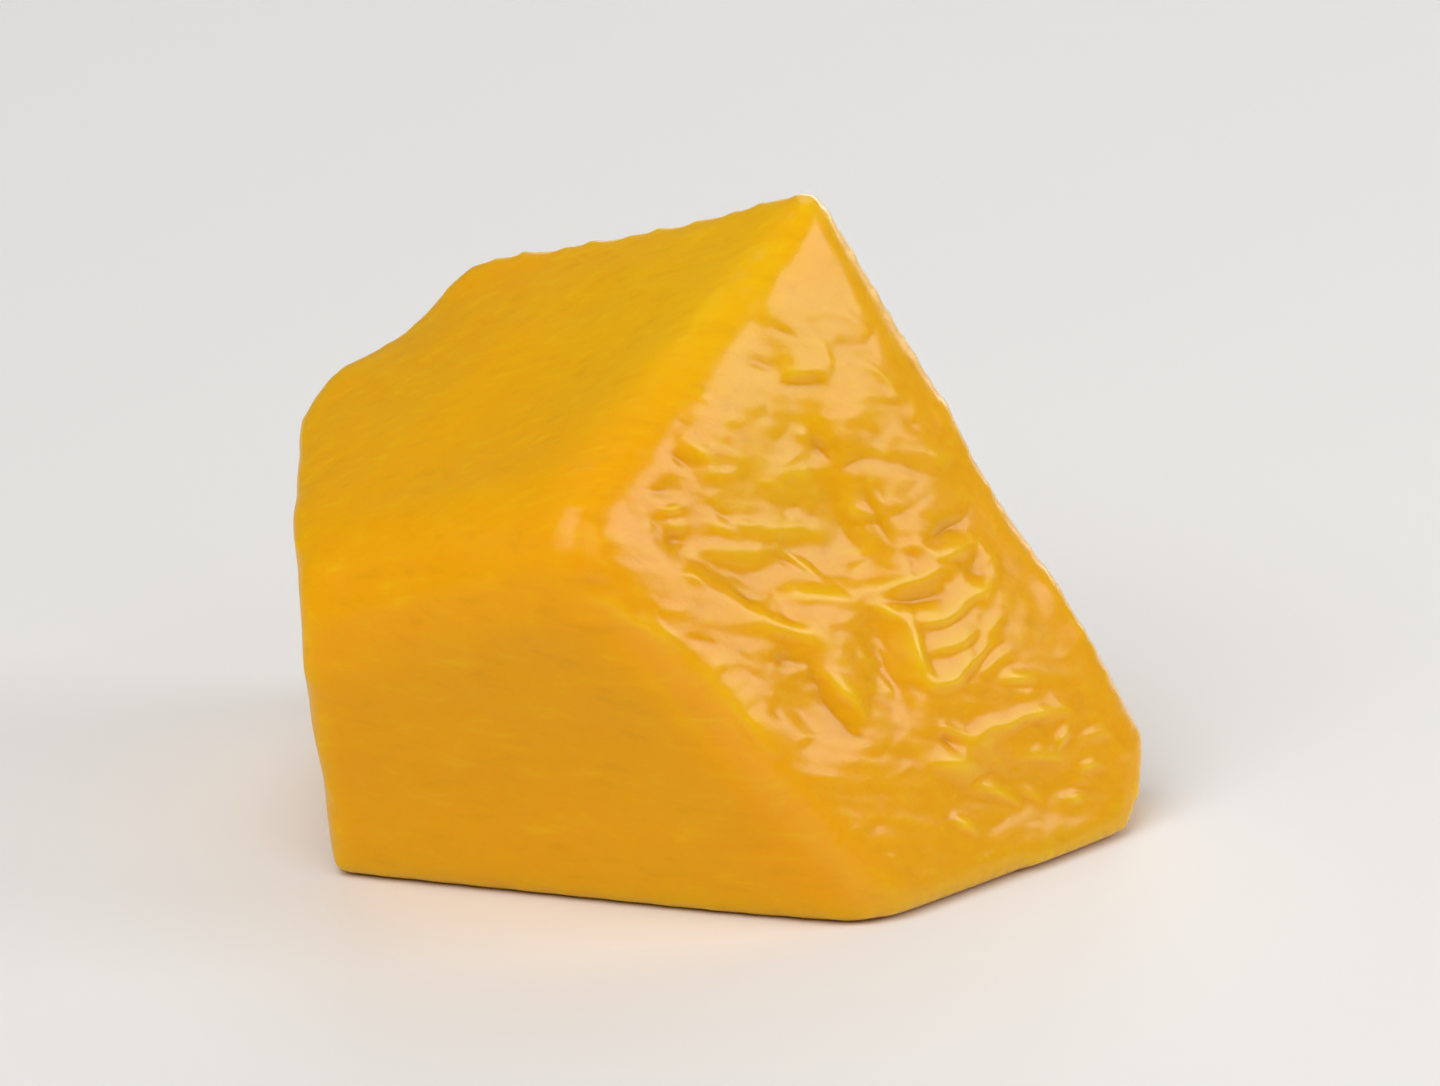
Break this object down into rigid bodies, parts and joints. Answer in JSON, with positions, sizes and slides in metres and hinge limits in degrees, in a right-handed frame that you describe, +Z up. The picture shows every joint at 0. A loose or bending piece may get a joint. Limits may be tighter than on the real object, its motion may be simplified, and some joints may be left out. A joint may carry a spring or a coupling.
{
  "type": "mango chunk",
  "caption": "Diced chunk of ripe mango: a wedge-shaped block with smooth knife-cut faces, soft edges and a torn side with wet, curled folds.",
  "frame": {"origin": "middle of the footprint box, on the flat underside", "axes": "+Z up, -Y towards the viewer's front, +X to the right along the longest side; the torn side looks to the front right and up"},
  "size_m": [0.0294, 0.0254, 0.0228],
  "materials": {
    "mango_flesh": "wet, soft gloss over translucent golden flesh"
  },
  "bodies": {
    "root": {"mango_chunk": "mango_flesh"}
  },
  "joints": []
}
